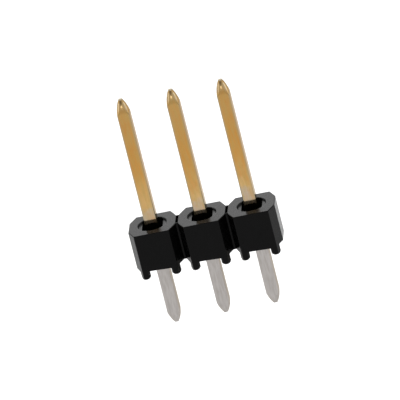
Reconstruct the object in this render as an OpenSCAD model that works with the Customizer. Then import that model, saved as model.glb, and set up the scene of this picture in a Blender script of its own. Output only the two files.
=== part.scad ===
// Straight pin header strip: one moulded housing and a row of square plated pins.
// X runs along the row, -Y is the front, +Z runs up the mating posts,
// and Z = 0 is the face of the board that the housing's feet stand on.
// The origin is on the axis of the middle pin. All sizes are in millimetres.

/* [Row] */
// Distance from one pin to the next
pitch = 2.54; // [2.46:0.01:2.8]

/* [Housing] */
// Width of one cell along the row
cell_w = 2.4; // [2.2:0.01:2.44]
// Depth of the housing across the row
cell_depth = 2.46; // [2.2:0.02:3]
// Height of the housing from its underside to its top face
body_h = 2; // [1.4:0.05:4]
// Corner cut of a cell, measured along the row
corner_w = 0.31; // [0.15:0.01:0.4]
// Corner cut of a cell, measured across the row
corner_depth = 0.67; // [0.5:0.01:0.8]
// Bevel round the rim of the top face
rim_bevel = 0.03; // [0.02:0.01:0.08]

/* [Webs between cells] */
// Depth across the row of the web that joins two cells
web_depth = 1.02; // [0.7:0.02:1.04]
// Width of the score slot on top of each web
score_w = 0.12; // [0.06:0.01:0.14]
// Depth of the score slot below the top face
score_depth = 0.3; // [0.1:0.05:0.6]
// Wall left at each end of the score slot
score_wall = 0.08; // [0.05:0.01:0.15]

/* [Cups] */
// Diameter of the cup round each post at the top face
cup_d = 1.5; // [1.2:0.05:1.7]
// Depth of the flat ledge in the cup
ledge_depth = 0.1; // [0.06:0.02:0.3]
// How far the wall of the cup leans in from the top face down to the ledge
wall_lean = 0.05; // [0.02:0.01:0.1]
// Diameter of the straight well inside the ledge
well_d = 1; // [0.92:0.02:1.15]
// Depth of the well's floor below the top face
well_depth = 0.75; // [0.4:0.05:0.8]

/* [Feet] */
// Height of the feet that keep the housing off the board
foot_h = 0.44; // [0.2:0.02:0.8]
// Diameter of a foot
foot_d = 0.48; // [0.4:0.02:0.6]
// Height of the slope round the end of a foot, which narrows it by as much on each side
foot_end_h = 0.1; // [0.04:0.02:0.14]
// Distance from the side of a cell to the axis of a foot
foot_side_in = 0.42; // [0.4:0.01:0.55]
// Distance from the front or back of a cell to the axis of a foot
foot_front_in = 0.2; // [0.16:0.01:0.3]

/* [Pins] */
// Width of the square pin across its flats
pin_w = 0.64; // [0.5:0.01:0.66]
// Length of the mating post above the housing's top face
post_h = 6.92; // [4:0.02:12]
// Length of the rounded nose of the post
post_nose_h = 0.8; // [0.4:0.05:1.2]
// Width of the blunt end of the post
post_end_w = 0.2; // [0.1:0.02:0.3]
// Length of the solder tail below the board's face
tail_h = 3; // [2:0.1:6]
// Length of the rounded nose of the tail
tail_nose_h = 0.74; // [0.4:0.02:1]
// Width of the blunt end of the tail
tail_end_w = 0.14; // [0.1:0.02:0.3]
// Length inside the housing over which the gold and the tin plating lap
plating_lap = 0.4; // [0.1:0.1:0.8]

/* [Pin seats] */
// Clearance between a pin and its hole on each side, none in a press fit
seat_clearance = 0; // [0:0.005:0.02]
// Height above the housing's underside of the ridges that grip the housing
ridge_z = 0.75; // [0.5:0.05:0.9]
// How far a ridge stands proud of the pin's side
ridge_proud = 0.04; // [0.02:0.01:0.06]
// Height of a ridge along the pin
ridge_h = 0.3; // [0.2:0.02:0.4]
// Length of a ridge across the pin
ridge_len = 0.4; // [0.2:0.02:0.5]

/* [Hidden] */
$fn = 64;

// Cells counted from the middle one
CELLS = [-1, 0, 1];
SIDES = [-1, 1];
BLACK = [0.1, 0.1, 0.1];
GOLD = [0.83, 0.64, 0.34];
TIN = [0.74, 0.72, 0.7];
// Extra length of a cut or of stock past the faces that bound it
over = 1;
top_z = foot_h + body_h;
stock_reach = 2 * (cell_w + cell_depth);
corner_angle = atan2(corner_w, corner_depth);
corner_length = norm([corner_w, corner_depth]);
// Distance between the two opposite corner cuts of a cell
corner_span = (corner_depth * cell_w + corner_w * (cell_depth - 2 * corner_depth)) / corner_length;
hole_w = pin_w + 2 * seat_clearance;
post_tip_z = top_z + post_h;
// Middle of the lap between the gold and the tin plating
plating_z = foot_h + body_h / 2;

// Bar along Y with bevelled top edges, turned about Z
module bevelled_bar(width, turn) {
    half = width / 2;
    rotate([0, 0, turn]) rotate([90, 0, 0]) linear_extrude(stock_reach, center = true)
        polygon([
            [-half, 0], [half, 0], [half, top_z - rim_bevel], [half - rim_bevel, top_z],
            [rim_bevel - half, top_z], [-half, top_z - rim_bevel]
        ]);
}

// Eight-sided stock of one cell, from the board's face to the top face
module cell_stock() {
    intersection() {
        bevelled_bar(cell_w, 0);
        bevelled_bar(cell_depth, 90);
        bevelled_bar(corner_span, corner_angle);
        bevelled_bar(corner_span, -corner_angle);
    }
}

// Round foot with a sloping end, run up through the body to its top
module foot() {
    cylinder(h = foot_end_h, d1 = foot_d - 2 * foot_end_h, d2 = foot_d);
    translate([0, 0, foot_end_h]) cylinder(h = top_z - foot_end_h, d = foot_d);
}

// One cell: the stock cut back under the body, with a foot left at each corner
module cell() {
    intersection() {
        cell_stock();
        union() {
            translate([-cell_w / 2 - over, -cell_depth / 2 - over, foot_h])
                cube([cell_w + 2 * over, cell_depth + 2 * over, body_h + over]);
            for (x = SIDES, y = SIDES)
                translate([x * (cell_w / 2 - foot_side_in), y * (cell_depth / 2 - foot_front_in), 0]) foot();
        }
    }
}

// Bar that runs through the cells and shows between them as the webs
module web_bar() {
    reach = 2 * pitch;
    translate([-reach / 2, -web_depth / 2, foot_h]) cube([reach, web_depth, body_h]);
}

// Blind slot on top of one web, where the strip is snapped
module score_slot() {
    slot_len = web_depth - 2 * score_wall;
    translate([-score_w / 2, -slot_len / 2, top_z - score_depth]) cube([score_w, slot_len, score_depth + over]);
}

// Shallow cup with a leaning wall that runs on above the top face, and the well in its ledge
module cup_cut() {
    slope = 2 * wall_lean / ledge_depth;
    translate([0, 0, top_z - ledge_depth])
        cylinder(h = ledge_depth + over, d1 = cup_d - 2 * wall_lean, d2 = cup_d + slope * over);
    translate([0, 0, top_z - well_depth]) cylinder(h = well_depth, d = well_d);
}

// Two low round ridges, on the sides of a pin that face along the row
module ridges(grow) {
    // Radius of the round that is ridge_h high where it leaves the pin and stands ridge_proud out
    ridge_r = (pow(ridge_h / 2, 2) + pow(ridge_proud, 2)) / (2 * ridge_proud);
    for (x = SIDES)
        intersection() {
            translate([x * (pin_w / 2 + ridge_proud - ridge_r), 0, foot_h + ridge_z]) rotate([90, 0, 0])
                cylinder(h = ridge_len + 2 * grow, r = ridge_r + grow, center = true);
            translate([x * pin_w / 2, 0, foot_h + ridge_z])
                cube([pin_w, ridge_len + 2 * grow, ridge_h + 2 * grow + over], center = true);
        }
}

// Square hole with pockets where the ridges of the pin bite into the housing
module pin_hole() {
    translate([-hole_w / 2, -hole_w / 2, 0]) cube([hole_w, hole_w, top_z]);
    ridges(seat_clearance);
}

module housing() {
    color(BLACK) difference() {
        union() {
            web_bar();
            for (i = CELLS) translate([i * pitch, 0, 0]) cell();
        }
        for (i = CELLS) translate([i * pitch, 0, 0]) {
            cup_cut();
            pin_hole();
        }
        for (x = SIDES) translate([x * pitch / 2, 0, 0]) score_slot();
    }
}

// Half outline of a nose: sides that curve in from the full width to a blunt end at height nose_h
module nose_outline(nose_h, end_w) {
    drop = (pin_w - end_w) / 2;
    nose_r = (pow(nose_h, 2) + pow(drop, 2)) / (2 * drop);
    intersection() {
        translate([-pin_w / 2, 0]) square([pin_w, nose_h]);
        translate([nose_r - pin_w / 2, 0]) circle(r = nose_r);
        translate([pin_w / 2 - nose_r, 0]) circle(r = nose_r);
    }
}

// Outline of the whole pin seen from one side, with its height along Y
module pin_outline() {
    shank_bottom = tail_nose_h - tail_h;
    shank_top = post_tip_z - post_nose_h;
    translate([-pin_w / 2, shank_bottom]) square([pin_w, shank_top - shank_bottom]);
    translate([0, shank_top]) nose_outline(post_nose_h, post_end_w);
    translate([0, shank_bottom]) mirror([0, 1]) nose_outline(tail_nose_h, tail_end_w);
}

// Bare pin: the same outline from the front and from the side, with the ridges
module pin_blank() {
    intersection() {
        rotate([90, 0, 0]) linear_extrude(pin_w, center = true) pin_outline();
        rotate([90, 0, 90]) linear_extrude(pin_w, center = true) pin_outline();
    }
    ridges(0);
}

// The length of a pin between two heights
module pin_length(from_z, to_z) {
    width = 2 * pin_w;
    intersection() {
        pin_blank();
        translate([-width / 2, -width / 2, from_z]) cube([width, width, to_z - from_z]);
    }
}

// One pin at its place in the row, gold above and tin below
module pin(place) {
    translate([place * pitch, 0, 0]) {
        color(GOLD) pin_length(plating_z - plating_lap / 2, post_tip_z + over);
        color(TIN) pin_length(-tail_h - over, plating_z + plating_lap / 2);
    }
}

module pin_left() pin(-1);
module pin_middle() pin(0);
module pin_right() pin(1);

housing();
pin_left();
pin_middle();
pin_right();
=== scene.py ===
"""Pin header strip dressed for the picture: three plated pins in a black moulded housing."""

import math

import bmesh
import bpy
import numpy as np
from mathutils import Matrix, Vector


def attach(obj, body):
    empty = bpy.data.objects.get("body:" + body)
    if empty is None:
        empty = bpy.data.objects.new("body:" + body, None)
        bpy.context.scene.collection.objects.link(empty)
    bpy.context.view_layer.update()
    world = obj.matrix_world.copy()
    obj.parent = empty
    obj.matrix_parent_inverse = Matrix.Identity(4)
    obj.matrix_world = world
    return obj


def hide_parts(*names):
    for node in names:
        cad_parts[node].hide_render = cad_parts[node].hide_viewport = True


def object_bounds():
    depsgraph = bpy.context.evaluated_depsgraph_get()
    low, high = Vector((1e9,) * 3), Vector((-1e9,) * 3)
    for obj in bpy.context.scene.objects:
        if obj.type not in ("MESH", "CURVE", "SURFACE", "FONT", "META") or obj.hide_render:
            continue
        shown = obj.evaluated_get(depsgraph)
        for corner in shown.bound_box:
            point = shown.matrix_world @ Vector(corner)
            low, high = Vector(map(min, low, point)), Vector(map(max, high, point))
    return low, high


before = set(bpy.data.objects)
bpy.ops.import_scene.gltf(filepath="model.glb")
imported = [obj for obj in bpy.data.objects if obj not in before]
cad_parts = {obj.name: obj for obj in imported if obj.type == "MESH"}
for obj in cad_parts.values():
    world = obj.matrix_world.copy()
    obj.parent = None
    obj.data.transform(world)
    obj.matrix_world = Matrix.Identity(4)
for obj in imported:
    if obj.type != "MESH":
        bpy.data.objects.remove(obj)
cad_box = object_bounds()

# Metres in a millimetre. Every length below is in millimetres
MM = 0.001

# Sizes of the strip, as in the part's source
PITCH = 2.54
FOOT_H = 0.44
FOOT_END_H = 0.1
TOP_Z = 2.44
PIN_W = 0.64
POST_TIP_Z = 9.36
TAIL_TIP_Z = -3.0
PLATING_Z = 1.44
RIDGE_Z = 1.19
RIDGE_PROUD = 0.04
RIDGE_H = 0.3
RIDGE_LEN = 0.4

# Noses of a pin. The end of the post is a little narrower than in the source, and the nose of the tail
# a little fuller
POST_NOSE_H = 0.8
POST_END_W = 0.16
TAIL_NOSE_H = 0.66
TAIL_END_W = 0.17

# Radius of the edges along a pin, and of the rim of its blunt ends
PIN_EDGE_R = 0.045
END_EDGE_R = 0.045

# Half width of the flat that is left on each side of a nose, and the share of the nose over which the
# flat narrows to it
NOSE_FLAT_HALF_W = 0.04
NARROWING_SHARE = 0.56

# Rings of points along a pin, and steps round its section
SHANK_RINGS = 148
POST_NOSE_RINGS = 22
TAIL_NOSE_RINGS = 18
END_RIM_RINGS = 5
FLAT_STEPS = 8
CORNER_STEPS = 6

# Pocket round each post, deeper than the ledge of the cup: its straight sides lie this far from the
# post's axis, and its round ends just past the rim of the cup
POCKET_HALF_W = 0.49
POCKET_END_R = 0.77
POCKET_FLOOR_Z = 1.66
POCKET_OVER = 0.2
POCKET_ARC_POINTS = 13

# Radius of the edges of the housing, and the share of it on a shallow edge
HOUSING_EDGE_R = 0.035
SHALLOW_SHARE = 0.4
ROUNDING_STEPS = 3

# Angles in degrees between two faces: an edge is rounded in full past the first, at the end of a foot
# past the second, and lightly past the third. An edge that isn't rounded is sharp past the last, where
# one of its faces is larger than this area in square millimetres
STEEP_ANGLE = 50
FOOT_END_ANGLE = 28
SHALLOW_ANGLE = 20
SHARP_ANGLE = 8
LARGE_FACE = 0.2

# Reach of a pin's hole from its axis along the row and across it, with the seats of the ridges
HOLE_REACH_X = 0.42
HOLE_REACH_Y = 0.33

# Points nearer than this are one, and faces that meet at less than this angle in degrees are one face
MERGE_REACH = 0.0002
FLAT_ANGLE = 0.6

# Distance between two levels that count as the same
SAME_LEVEL = 0.01

# Camera that was fitted to the outline of the strip: to the right of the front, above and rolled, in
# degrees, then the point it looks at, its distance from there and its lens
CAMERA_TURN = 8.1565
CAMERA_RISE = 22.5485
CAMERA_ROLL = 14.2352
CAMERA_AIM = (-0.0464, 0.9797, 2.7915)
CAMERA_DISTANCE = 450
CAMERA_LENS = 811.68

# Level of the floor, half its width, and the distances from the middle between which it turns white
FLOOR_Z = -9.5
FLOOR_REACH = 1000
FLOOR_NEAR_R = 40.0
FLOOR_FAR_R = 140.0

# Point on the strip that the soft boxes look at
LIT_POINT = (0, 0, 3)

# Soft boxes: name, place, width and brightness, where 1 is white
SOFT_BOXES = [
    ("left soft box", (-170, -20, 70), 150, 0.7),
    ("right soft box", (170, 10, 60), 150, 0.7),
    ("top soft box", (0, 80, 190), 160, 0.7),
    ("back soft box", (-26, 190, 85), 150, 1.2),
    ("low front soft box", (-42, -300, 92), 44, 2.4)]

# Way to the darker part of the studio, and the cosines of the angles from it at which it ends and at
# which it is darkest
DARK_WAY = (-0.12, -0.849, 0.515)
DARK_RIM = 0.955
DARK_CORE = 0.985


# Camera

def place_camera():
    """Looks at the strip from the right of its front and from above, rolled so that the posts lean."""
    turn, rise, roll = (math.radians(angle) for angle in (CAMERA_TURN, CAMERA_RISE, CAMERA_ROLL))
    aim = Vector(CAMERA_AIM) * MM
    back = Vector((math.sin(turn) * math.cos(rise), -math.cos(turn) * math.cos(rise), math.sin(rise)))
    camera = bpy.data.objects.new("camera", bpy.data.cameras.new("camera"))
    camera.data.sensor_width = 36
    camera.data.lens = CAMERA_LENS
    camera.data.clip_start = 0.05
    camera.data.clip_end = 5
    stand = Matrix.Translation(aim + back * (CAMERA_DISTANCE * MM))
    straight = (-back).to_track_quat("-Z", "Y").to_matrix().to_4x4()
    camera.matrix_world = stand @ straight @ Matrix.Rotation(-roll, 4, "Z")
    bpy.context.scene.collection.objects.link(camera)
    bpy.context.scene.camera = camera
    bpy.context.scene.view_settings.view_transform = "Standard"


# Shader maths

class Wire:
    """An output of a node. Arithmetic on it adds Math nodes to the same material."""

    def __init__(self, finish, socket):
        self.finish = finish
        self.socket = socket

    def __add__(self, other):
        return self.finish.math("ADD", self, other)

    def __sub__(self, other):
        return self.finish.math("SUBTRACT", self, other)

    def __rsub__(self, other):
        return self.finish.math("SUBTRACT", other, self)

    def __mul__(self, other):
        return self.finish.math("MULTIPLY", self, other)

    __radd__ = __add__
    __rmul__ = __mul__


class Finish:
    """The node tree of one material or of the world."""

    def __init__(self, owner):
        owner.use_nodes = True
        self.owner = owner
        self.tree = owner.node_tree
        self.tree.nodes.clear()

    def node(self, kind, settings=None, sockets=None, out=0):
        """Adds a node, sets its settings and then its sockets, and gives one of its outputs."""
        made = self.tree.nodes.new(kind)
        for name, value in (settings or {}).items():
            if name == "stops":
                ramp = made.color_ramp
                while len(ramp.elements) < len(value):
                    ramp.elements.new(0.5)
                for element, (at, colour) in zip(ramp.elements, value):
                    element.position = at
                    element.color = (*colour, 1)
            else:
                setattr(made, name, value)
        for name, value in (sockets or {}).items():
            if isinstance(value, Wire):
                self.tree.links.new(value.socket, made.inputs[name])
            else:
                made.inputs[name].default_value = value
        return Wire(self, made.outputs[out]) if made.outputs else None

    def math(self, operation, *terms):
        return self.node("ShaderNodeMath", {"operation": operation}, dict(enumerate(terms)))

    def mix(self, share, first, second):
        """Colour that goes from the first to the second as the share goes from 0 to 1."""
        return self.node("ShaderNodeMix", {"data_type": "RGBA"}, {0: share, 6: first, 7: second}, 2)

    def smooth(self, value, low, high):
        """0 below low, 1 above high and a smooth step between them."""
        return self.node("ShaderNodeMapRange", {"interpolation_type": "SMOOTHSTEP"},
                         {"Value": value, "From Min": low, "From Max": high})

    def place_mm(self, stretch=(1, 1, 1)):
        """The piece's own coordinates in millimetres, times a number along each axis."""
        local = self.node("ShaderNodeTexCoord", out=3)
        scale = tuple(s / MM for s in stretch)
        return self.node("ShaderNodeVectorMath", {"operation": "MULTIPLY"}, {0: local, 1: scale})

    def noise(self, scale, detail, roughness=0.5, stretch=(1, 1, 1)):
        """Noise round 0.5, fixed to the piece and drawn out along an axis whose stretch is small."""
        return self.node("ShaderNodeTexNoise", {}, {"Vector": self.place_mm(stretch), "Scale": scale,
                                                    "Detail": detail, "Roughness": roughness})

    def bump(self, height, strength, distance):
        return self.node("ShaderNodeBump", {}, {"Height": height, "Strength": strength,
                                                "Distance": distance * MM})

    def surface(self, shader):
        self.node("ShaderNodeOutputMaterial", {}, {"Surface": shader})
        return self.owner


def rgb(red, green, blue):
    return (red, green, blue, 1)


def grey(light):
    return rgb(light, light, light)


# Colours of the finishes, in linear light

# Gold up a post by height, where 0 is at the first level and 1 a span higher
GOLD_LOW_Z = 2.0
GOLD_SPAN = 8.0
GOLD_STOPS = [
    (0.115, (0.385, 0.316, 0.248)), (0.158, (0.405, 0.322, 0.232)), (0.185, (0.478, 0.309, 0.127)),
    (0.26, (0.478, 0.289, 0.108)), (0.33, (0.461, 0.262, 0.081)), (0.41, (0.440, 0.214, 0.048)),
    (0.56, (0.417, 0.210, 0.050)), (0.75, (0.400, 0.224, 0.069)), (0.9, (0.400, 0.232, 0.072))]
DEEP_GOLD = rgb(0.413, 0.189, 0.042)
GREEN_GOLD = rgb(0.355, 0.253, 0.085)
# Painted sheen: paler gold along a pin's rounded edges, standing in for the light they catch
EDGE_SHEEN_GOLD = rgb(0.310, 0.262, 0.160)
# Painted sheen: paler gold on the side slopes of a post's nose, standing in for the light they catch
SLOPE_SHEEN_GOLD = rgb(0.420, 0.330, 0.215)
# Painted highlight: paler gold from the middle of a post's nose up
NOSE_HIGHLIGHT_GOLD = rgb(0.430, 0.330, 0.190)
# Painted dark reflection: browner gold just under the tip of a post
TIP_DARK_REFLECTION = rgb(0.330, 0.215, 0.090)
# Painted highlight: greyer, paler colour on the flat end of a post
END_HIGHLIGHT_GREY = rgb(0.30, 0.27, 0.21)
LINE_GOLD = rgb(0.389, 0.260, 0.142)
DARK_TIN = rgb(0.312, 0.292, 0.277)
LIGHT_TIN = rgb(0.385, 0.363, 0.350)
GRAZING_TINT = rgb(0.62, 0.56, 0.46)
DARK_PLASTIC = grey(0.0008)
LIGHT_PLASTIC = grey(0.002)
FLOOR_GREY = grey(0.86)
FLOOR_LIFT = grey(0.16)
WHITE = grey(1)
STUDIO_GREY = grey(0.36)

# Roughness of the tin and of the gold low on a post, how much more the gold has high on it, and the
# two heights between which it rises
TIN_ROUGH = 0.36
GOLD_ROUGH = 0.09
GOLD_ROUGH_RISE = 0.1
ROUGH_LOW_Z = 3.2
ROUGH_HIGH_Z = 8.4

# Roughness of the housing, and its index of refraction, low because the moulding hardly shines
PLASTIC_ROUGH = 0.24
PLASTIC_IOR = 1.165

# Half the height over which the gold runs into the tin, inside the housing
PLATING_BLUR = 0.02


def pin_plating_and_painted_light():
    """Bright gold above the middle of the housing and grey tin below it, with fine lengthwise lines.
    The gold's colour goes by a height that patches shift by up to 0.4 mm and the place in the row by
    0.6 mm. A painted sheen makes it paler along the edges and on the slopes of a nose, a painted
    highlight makes it paler from the middle of a nose up, a painted dark reflection makes it browner
    under the tip, and a painted highlight makes it greyer on the flat end."""
    f = Finish(bpy.data.materials.new("pin plating and painted light"))
    height = f.node("ShaderNodeSeparateXYZ", {}, {0: f.place_mm()}, 2)
    edge = f.node("ShaderNodeAttribute", {"attribute_name": "edge"}, out=2)
    lines = f.noise(1.0, 3, 0.6, (30, 30, 0.6))
    streaks = f.noise(9.0, 4, 0.6, (1, 1, 0.14))
    patch = f.noise(1.3, 3, 0.6, (1.6, 1.6, 0.9))
    along_row = f.noise(1.0, 0, stretch=(0.29, 0, 0))

    # The height picks the gold, and patches and streaks of two other golds lie over it
    shifted = height + (patch - 0.5) * 0.8 + (along_row - 0.5) * 1.2
    level = (shifted - GOLD_LOW_Z) * (1 / GOLD_SPAN)
    gold = f.node("ShaderNodeValToRGB", {"stops": GOLD_STOPS}, {0: level})
    gold = f.mix(f.smooth(patch, 0.45, 0.7) * 0.5, gold, DEEP_GOLD)
    gold = f.mix(f.smooth(streaks, 0.35, 0.65) * 0.5, gold, GREEN_GOLD)

    # The edges and the slopes of the nose get a paler painted sheen, the nose a painted highlight from
    # its middle up, the part under its tip a painted dark reflection and the flat end a painted highlight
    gold = f.mix(f.smooth(edge, 0.62, 1.0) * 0.75, gold, EDGE_SHEEN_GOLD)
    nose_z = POST_TIP_Z - POST_NOSE_H
    on_nose = f.smooth(height, nose_z + 0.1, nose_z + 0.4)
    gold = f.mix(f.smooth(edge, 0.4, 0.72) * on_nose * 0.85, gold, SLOPE_SHEEN_GOLD)
    gold = f.mix(f.smooth(height, POST_TIP_Z - 0.6, POST_TIP_Z - 0.3) * 0.45, gold, NOSE_HIGHLIGHT_GOLD)
    gold = f.mix(f.smooth(height, POST_TIP_Z - 0.2, POST_TIP_Z - 0.12), gold, TIP_DARK_REFLECTION)
    gold = f.mix(f.smooth(height, POST_TIP_Z - 0.06, POST_TIP_Z - 0.01), gold, END_HIGHLIGHT_GREY)

    tin = f.mix(f.smooth(streaks, 0.3, 0.7), DARK_TIN, LIGHT_TIN)
    is_gold = f.smooth(height, PLATING_Z - PLATING_BLUR, PLATING_Z + PLATING_BLUR)
    colour = f.mix(is_gold, tin, gold)
    colour = f.mix(f.smooth(lines, 0.4, 0.8) * is_gold * 0.16, colour, LINE_GOLD)
    smoother = TIN_ROUGH - GOLD_ROUGH - f.smooth(height, ROUGH_LOW_Z, ROUGH_HIGH_Z) * GOLD_ROUGH_RISE
    return f.surface(f.node("ShaderNodeBsdfPrincipled", {}, {
        "Base Color": colour, "Metallic": 1.0,
        "Roughness": TIN_ROUGH - is_gold * smoother + (lines - 0.5) * 0.1,
        "Specular Tint": GRAZING_TINT,
        "Normal": f.bump(lines, 0.25, 0.004)}))


def housing_black():
    """Black glass-filled plastic with a fine satin grain."""
    f = Finish(bpy.data.materials.new("housing black"))
    grain = f.noise(9.0, 4, 0.7)
    cloud = f.noise(2.4, 2)
    return f.surface(f.node("ShaderNodeBsdfPrincipled", {}, {
        "Base Color": f.mix(cloud, DARK_PLASTIC, LIGHT_PLASTIC),
        "Roughness": PLASTIC_ROUGH + (grain - 0.5) * 0.3 + (cloud - 0.5) * 0.03, "IOR": PLASTIC_IOR,
        "Normal": f.bump(grain, 0.4, 0.007)}))


def floor_pale():
    """Pale matt floor that keeps the shadow and runs into the white background further out. It is a
    little lighter to the camera and in reflections than in the light that it throws on the strip."""
    f = Finish(bpy.data.materials.new("floor pale"))
    rays = f.node("ShaderNodeLightPath").socket.node.outputs
    kinds = ("Camera", "Glossy", "Transmission")
    camera, glossy, through = (Wire(f, rays[f"Is {kind} Ray"]) for kind in kinds)
    seen = f.math("MAXIMUM", camera, f.math("MAXIMUM", glossy, through))
    distance = f.node("ShaderNodeVectorMath", {"operation": "LENGTH"}, {0: f.place_mm()}, 1)
    far = f.smooth(distance, FLOOR_NEAR_R, FLOOR_FAR_R)
    white = f.node("ShaderNodeEmission", {}, {"Color": WHITE, "Strength": 1.0})
    lift = f.node("ShaderNodeEmission", {}, {"Color": FLOOR_LIFT, "Strength": 1.0})
    matt = f.node("ShaderNodeBsdfDiffuse", {}, {"Color": FLOOR_GREY})
    lifted = f.node("ShaderNodeAddShader", {}, {0: matt, 1: lift})
    near = f.node("ShaderNodeMixShader", {}, {0: seen, 1: matt, 2: lifted})
    return f.surface(f.node("ShaderNodeMixShader", {}, {0: seen * far, 1: near, 2: white}))


# Mesh helpers

def column(items, name, width=1, kind=float):
    """One property of all the items of a mesh as an array, with a row for each item if it is wider."""
    values = np.empty(len(items) * width, kind)
    items.foreach_get(name, values)
    return values.reshape(-1, width) if width > 1 else values


def shade_smooth(mesh):
    mesh.polygons.foreach_set("use_smooth", np.ones(len(mesh.polygons), bool))


def grid_mesh(name, rings, low_pole, high_pole):
    """Closed mesh of rings of points, each joined to the next: point j of a ring, point j + 1 and the
    same two of the next ring make a face. A fan closes each end at a pole. The rings run anticlockwise
    seen from the high end, so the faces point outwards."""
    count, around = rings.shape[:2]
    points = np.concatenate([rings.reshape(-1, 3), [low_pole, high_pole]])
    j = np.arange(around)
    k = np.roll(j, -1)
    base = np.arange(count - 1)[:, None] * around
    walls = np.stack([base + j, base + k, base + around + k, base + around + j], -1).reshape(-1, 4)
    low, high = count * around, count * around + 1
    last = (count - 1) * around
    fan_low = np.stack([np.full(around, low), k, j], -1)
    fan_high = np.stack([np.full(around, high), last + j, last + k], -1)
    mesh = bpy.data.meshes.new(name)
    mesh.from_pydata(points * MM, [], walls.tolist() + fan_low.tolist() + fan_high.tolist())
    mesh.validate()
    return mesh


def add_piece(name, mesh, material, node):
    """Puts a finished mesh into the scene in place of the CAD node."""
    piece = bpy.data.objects.new(name, mesh)
    bpy.context.scene.collection.objects.link(piece)
    mesh.materials.clear()
    mesh.materials.append(material)
    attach(piece, "root")
    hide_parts(node)


# Pins

def section_pattern():
    """A rounded square as two arrays: the share of the corner's place, and the direction in which the
    edge radius is added. A side goes from corner to corner with one direction, and a corner stays in
    place while its direction turns by 90 degrees. The other three quarters are turned copies."""
    side = np.linspace(-1, 1, FLAT_STEPS + 1)
    turn = np.radians(np.linspace(0, 90, CORNER_STEPS + 1))[1:-1]
    corner = np.concatenate([np.stack([np.ones_like(side), side], -1), np.ones((len(turn), 2))])
    along_side = np.tile([1.0, 0.0], (len(side), 1))
    aim = np.concatenate([along_side, np.stack([np.cos(turn), np.sin(turn)], -1)])
    quarter = np.array([[0, -1], [1, 0]])
    spins = [np.linalg.matrix_power(quarter, n) for n in range(4)]
    return np.concatenate([corner @ s.T for s in spins]), np.concatenate([aim @ s.T for s in spins])


def nose_levels(nose_h, end_w, steps):
    """Heights and half widths of a nose, counted from where it begins. With the drop from the full half
    width to half the blunt end and r = (h^2 + drop^2) / (2 drop), the half width at height t is
    PIN_W / 2 - (r - sqrt(r^2 - t^2)), an arc that is upright where the nose begins. A quarter of a
    small circle rounds the rim of the blunt end."""
    drop = (PIN_W - end_w) / 2
    radius = (nose_h ** 2 + drop ** 2) / (2 * drop)
    height = np.linspace(0, nose_h - END_EDGE_R, steps)
    half = PIN_W / 2 - (radius - np.sqrt(radius ** 2 - height ** 2))
    turn = np.radians(np.linspace(0, 90, END_RIM_RINGS + 1))[1:]
    rim_height = nose_h - END_EDGE_R + END_EDGE_R * np.sin(turn)
    rim_half = half[-1] - END_EDGE_R * (1 - np.cos(turn))
    return np.concatenate([height, rim_height]), np.concatenate([half, rim_half])


def pin_mesh(name, x):
    """Rounded square sections carried up the pin. At each level a point is
    corner * (half width - edge radius) + direction * edge radius. The half width follows the two noses.
    The flat of each side narrows along a nose by a quarter of a sine, and the edge radius is what is left
    of the half width. On the sides along the row a low ridge stands out: an arc of radius r that is
    RIDGE_H high at the pin's side, sqrt(r^2 - (z - RIDGE_Z)^2) - (r - RIDGE_PROUD). The attribute edge
    is 0 in the middle of a side and 1 at a corner: the smaller of |x| and |y| over the half width."""
    post_nose_z = POST_TIP_Z - POST_NOSE_H
    tail_nose_z = TAIL_TIP_Z + TAIL_NOSE_H
    post_h, post_half = nose_levels(POST_NOSE_H, POST_END_W, POST_NOSE_RINGS)
    tail_h, tail_half = nose_levels(TAIL_NOSE_H, TAIL_END_W, TAIL_NOSE_RINGS)
    shank = np.linspace(tail_nose_z, post_nose_z, SHANK_RINGS + 2)[1:-1]
    z = np.concatenate([(tail_nose_z - tail_h)[::-1], shank, post_nose_z + post_h])
    half = np.concatenate([tail_half[::-1], np.full(len(shank), PIN_W / 2), post_half])

    corner, aim = section_pattern()
    along_nose = np.maximum((z - post_nose_z) / POST_NOSE_H, (tail_nose_z - z) / TAIL_NOSE_H)
    share = np.sin(np.clip(along_nose / NARROWING_SHARE, 0, 1) * np.pi / 2)
    flat = (PIN_W / 2 - PIN_EDGE_R) * (1 - share) + NOSE_FLAT_HALF_W * share
    radius = np.maximum(half - flat, np.minimum(half, END_EDGE_R))
    across = corner[None] * (half - radius)[:, None, None] + aim[None] * radius[:, None, None]

    ridge_r = ((RIDGE_H / 2) ** 2 + RIDGE_PROUD ** 2) / (2 * RIDGE_PROUD)
    bulge = np.sqrt(np.maximum(ridge_r ** 2 - (z - RIDGE_Z) ** 2, 0)) - (ridge_r - RIDGE_PROUD)
    on_ridge = (np.abs(across[..., 1]) <= RIDGE_LEN / 2) * np.round(aim[None, :, 0])
    rings = np.concatenate([across, np.broadcast_to(z[:, None, None], (*across.shape[:2], 1))], -1)
    rings[..., 0] += np.maximum(bulge, 0)[:, None] * on_ridge + x
    mesh = grid_mesh(name, rings, (x, 0, TAIL_TIP_Z), (x, 0, POST_TIP_Z))
    shade_smooth(mesh)

    nearness = np.abs(across).min(-1) / half[:, None]
    shares = np.concatenate([nearness.ravel(), [0, 0]]).astype(np.float32)
    mesh.attributes.new("edge", "FLOAT", "POINT").data.foreach_set("value", shares)
    return mesh


# Housing

def tidy_skin(mesh):
    """Merges the points that coincide and joins the faces that lie in one plane."""
    skin = bmesh.new()
    skin.from_mesh(mesh)
    bmesh.ops.remove_doubles(skin, verts=skin.verts, dist=MERGE_REACH * MM)
    flat = math.radians(FLAT_ANGLE)
    bmesh.ops.dissolve_limit(skin, angle_limit=flat, verts=skin.verts, edges=skin.edges)
    skin.to_mesh(mesh)
    skin.free()


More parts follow.
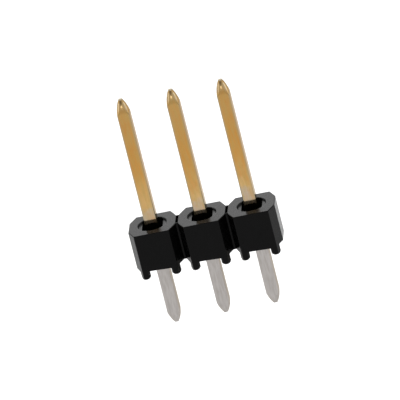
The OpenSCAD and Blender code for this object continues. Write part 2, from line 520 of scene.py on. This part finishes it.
def pocket_mesh():
    """Three upright prisms. The outline of each is two arcs of radius POCKET_END_R round the post,
    from the angle whose cosine is POCKET_HALF_W / POCKET_END_R, joined by two straight sides."""
    first = math.acos(POCKET_HALF_W / POCKET_END_R)
    turn = np.linspace(first, math.pi - first, POCKET_ARC_POINTS)
    turn = np.concatenate([turn, turn + math.pi])
    count = len(turn)
    outline = np.stack([np.cos(turn), np.sin(turn)], -1) * POCKET_END_R
    places = np.array([-1, 0, 1])[:, None, None, None] * [PITCH, 0, 0]
    levels = np.array([POCKET_FLOOR_Z, TOP_Z + POCKET_OVER])[:, None, None] * [0, 0, 1]
    points = places + levels + np.pad(outline, ((0, 0), (0, 1)))
    j = np.arange(count)
    walls = np.stack([j, np.roll(j, -1), np.roll(j, -1) + count, j + count], -1)
    faces = []
    for prism in range(3):
        shift = prism * 2 * count
        faces += (walls + shift).tolist() + [(j[::-1] + shift).tolist(), (j + count + shift).tolist()]
    mesh = bpy.data.meshes.new("pockets")
    mesh.from_pydata(points.reshape(-1, 3) * MM, [], faces)
    return mesh


def modified(mesh, kind, **settings):
    """Runs one modifier on the mesh and gives the result as a new mesh."""
    block = bpy.data.objects.new("block", mesh)
    bpy.context.scene.collection.objects.link(block)
    step = block.modifiers.new(kind, kind)
    for name, value in settings.items():
        setattr(step, name, value)
    made = bpy.data.meshes.new_from_object(block.evaluated_get(bpy.context.evaluated_depsgraph_get()))
    bpy.data.objects.remove(block)
    return made


def carve(mesh, cutter_mesh):
    """Takes the cutter's solid away from the mesh and gives the rest as a new mesh."""
    cutter = bpy.data.objects.new("cutter", cutter_mesh)
    bpy.context.scene.collection.objects.link(cutter)
    carved = modified(mesh, "BOOLEAN", object=cutter, solver="EXACT")
    bpy.data.objects.remove(cutter)
    return carved


def edge_facts(mesh):
    """Three arrays with a value for each edge: its middle in millimetres, the angle in degrees between
    its two faces, and the area of the larger one in square millimetres. A face is listed once for each of
    its corners, and sorting the list by the corners' edges puts the two faces of an edge side by side."""
    middle = column(mesh.vertices, "co", 3)[column(mesh.edges, "vertices", 2, int)].mean(1) / MM
    face = np.repeat(np.arange(len(mesh.polygons)), column(mesh.polygons, "loop_total", kind=int))
    order = np.argsort(column(mesh.loops, "edge_index", kind=int), kind="stable")
    face = face[order].reshape(-1, 2)
    pair = column(mesh.polygons, "normal", 3)[face]
    cosine = np.clip((pair[:, 0] * pair[:, 1]).sum(-1), -1, 1)
    area = column(mesh.polygons, "area")[face].max(-1) / MM ** 2
    return middle, np.degrees(np.arccos(cosine)), area


def mark_edges(mesh):
    """Gives each edge its share of the rounding and marks the sharp ones. The hole of a pin isn't
    rounded, because the pin fills it, and on a foot only the rings at its end are."""
    middle, angle, area = edge_facts(mesh)
    x = middle[:, 0] - PITCH * np.round(middle[:, 0] / PITCH)
    z = middle[:, 2]
    in_hole = (np.abs(x) < HOLE_REACH_X) & (np.abs(middle[:, 1]) < HOLE_REACH_Y)
    on_foot = z < FOOT_H - 2 * SAME_LEVEL
    on_ring = (z < SAME_LEVEL) | (np.abs(z - FOOT_END_H) < SAME_LEVEL)
    steep = (angle > STEEP_ANGLE) | on_ring & (angle > FOOT_END_ANGLE)
    shallow = (angle > SHALLOW_ANGLE) & ~on_foot
    weight = np.where(steep, 1.0, np.where(shallow, SHALLOW_SHARE, 0.0)) * ~in_hole
    sharp = (weight == 0) & (angle > SHARP_ANGLE) & ((area > LARGE_FACE) | in_hole)
    rounding = mesh.attributes.new("bevel_weight_edge", "FLOAT", "EDGE")
    rounding.data.foreach_set("value", weight.astype(np.float32))
    mesh.attributes.new("sharp_edge", "BOOLEAN", "EDGE").data.foreach_set("value", sharp)


def keep_inside(mesh, box):
    """Moves the points that rounding has pushed past the part's box back onto its faces."""
    co = np.clip(column(mesh.vertices, "co", 3), *np.array([list(v) for v in box]))
    mesh.vertices.foreach_set("co", co.ravel())


def housing_mesh(name):
    """The housing's solid as one skin, with the pockets carved, its flat faces joined and its edges
    rounded."""
    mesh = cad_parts["housing"].data.copy()
    for shading in ("custom_normal", "sharp_edge", "sharp_face"):
        if shading in mesh.attributes:
            mesh.attributes.remove(mesh.attributes[shading])
    tidy_skin(mesh)
    mesh = carve(mesh, pocket_mesh())
    tidy_skin(mesh)
    mark_edges(mesh)
    shade_smooth(mesh)
    mesh = modified(mesh, "BEVEL", width=HOUSING_EDGE_R * MM, segments=ROUNDING_STEPS,
                    limit_method="WEIGHT", use_clamp_overlap=False, harden_normals=True)
    keep_inside(mesh, cad_box)
    mesh.name = name
    return mesh


# Stage and light

def lay_floor():
    """A flat square sheet under the strip, facing up."""
    corners = np.array([[-1, -1, 0], [1, -1, 0], [1, 1, 0], [-1, 1, 0]]) * FLOOR_REACH * MM
    mesh = bpy.data.meshes.new("floor")
    mesh.from_pydata(corners + [0, 0, FLOOR_Z * MM], [], [[0, 1, 2, 3]])
    floor = bpy.data.objects.new("floor", mesh)
    bpy.context.scene.collection.objects.link(floor)
    mesh.materials.append(floor_pale())


def soft_box(name, place, size, brightness):
    """A square lamp that looks at the strip. Its power gives a surface of this brightness, where 1 is
    white: power = 4 * brightness * area."""
    lamp = bpy.data.lights.new(name, "AREA")
    lamp.shape = "SQUARE"
    lamp.size = size * MM
    lamp.energy = brightness * 4 * (size * MM) ** 2
    light = bpy.data.objects.new(name, lamp)
    at = Vector(place) * MM
    ahead = Vector(LIT_POINT) * MM - at
    light.matrix_world = Matrix.Translation(at) @ ahead.to_track_quat("-Z", "Y").to_matrix().to_4x4()
    light.visible_camera = False
    bpy.context.scene.collection.objects.link(light)


def light_the_studio():
    """White light from all round, with a darker round patch behind the camera, and the soft boxes."""
    world = bpy.data.worlds.new("studio")
    bpy.context.scene.world = world
    f = Finish(world)
    way = f.node("ShaderNodeTexCoord", out=0)
    toward = f.node("ShaderNodeVectorMath", {"operation": "DOT_PRODUCT"}, {0: way, 1: DARK_WAY}, 1)
    colour = f.mix(f.smooth(toward, DARK_RIM, DARK_CORE), WHITE, STUDIO_GREY)
    background = f.node("ShaderNodeBackground", {}, {"Color": colour})
    f.node("ShaderNodeOutputWorld", {}, {"Surface": background})
    for box in SOFT_BOXES:
        soft_box(*box)


place_camera()
plating = pin_plating_and_painted_light()
for node_name, step in (("pin_left", -1), ("pin_middle", 0), ("pin_right", 1)):
    add_piece(node_name + "_plated", pin_mesh(node_name, step * PITCH), plating, node_name)
add_piece("housing_moulded", housing_mesh("housing"), housing_black(), "housing")
lay_floor()
light_the_studio()
